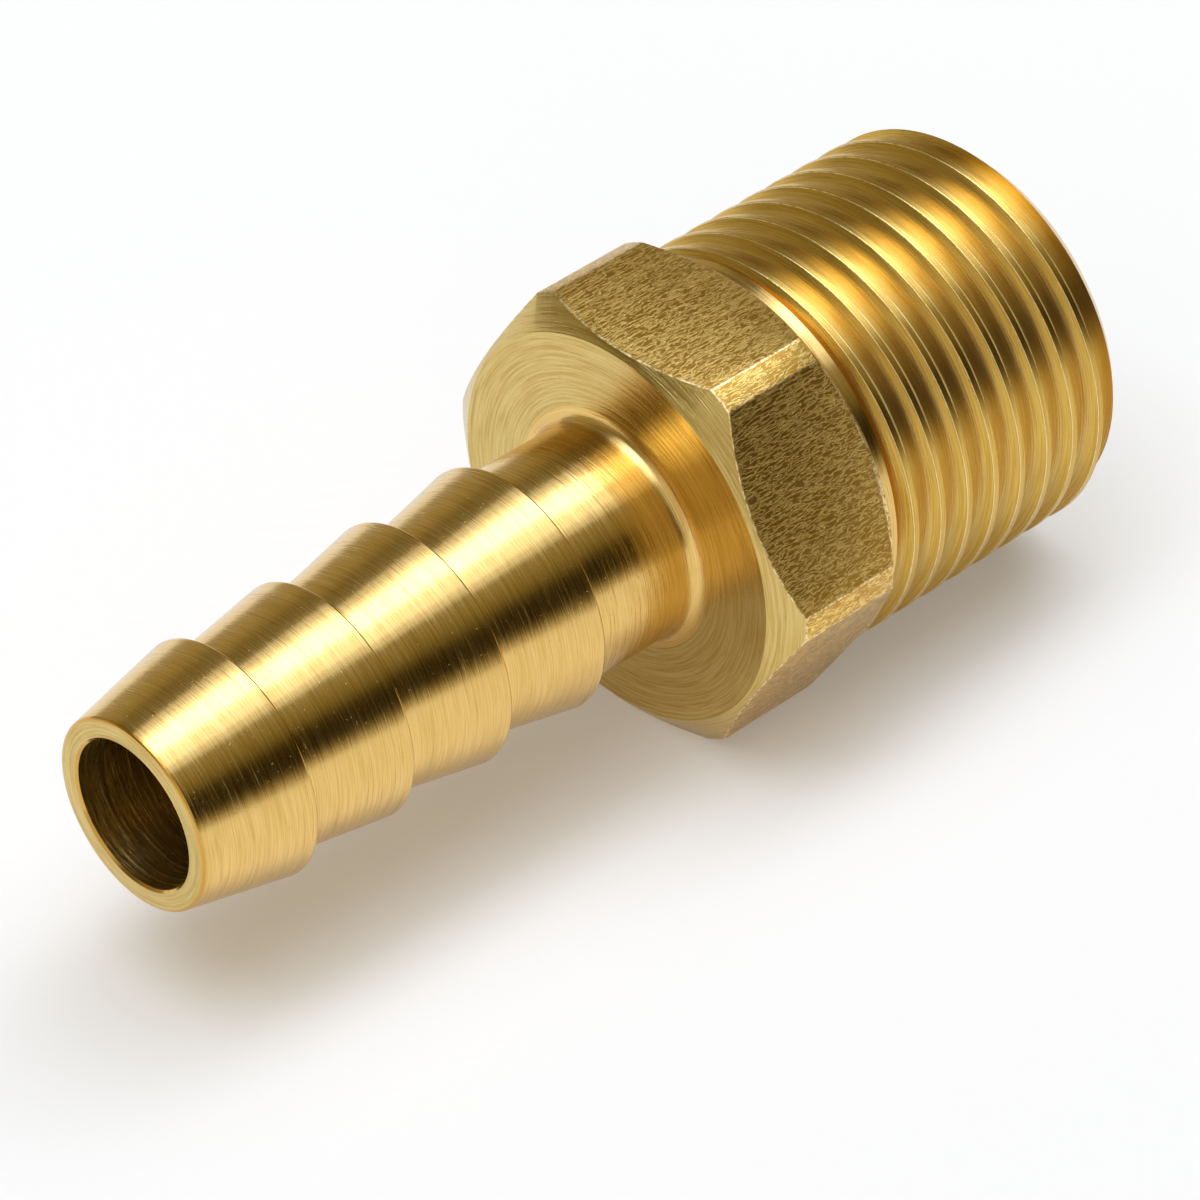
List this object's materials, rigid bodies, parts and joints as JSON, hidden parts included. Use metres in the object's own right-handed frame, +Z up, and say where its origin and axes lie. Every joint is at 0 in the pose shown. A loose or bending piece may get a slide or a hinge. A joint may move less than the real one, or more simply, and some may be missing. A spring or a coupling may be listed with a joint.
{
  "type": "hose barb tail",
  "caption": "Brass hose barb tail: a barbed end for a push-on hose, a hexagon for a spanner and a parallel male pipe thread, turned from solid with a bore right through.",
  "frame": {"origin": "on the ground under the middle of the length, the tail lying on a flat of its hexagon", "axes": "+X along the bore towards the threaded end, +Z up, square to the flat that it lies on"},
  "size_m": [0.0544, 0.0234, 0.0209],
  "materials": {
    "brass": "turned"
  },
  "bodies": {
    "root": {"hose_barb_tail": "brass"}
  },
  "joints": []
}
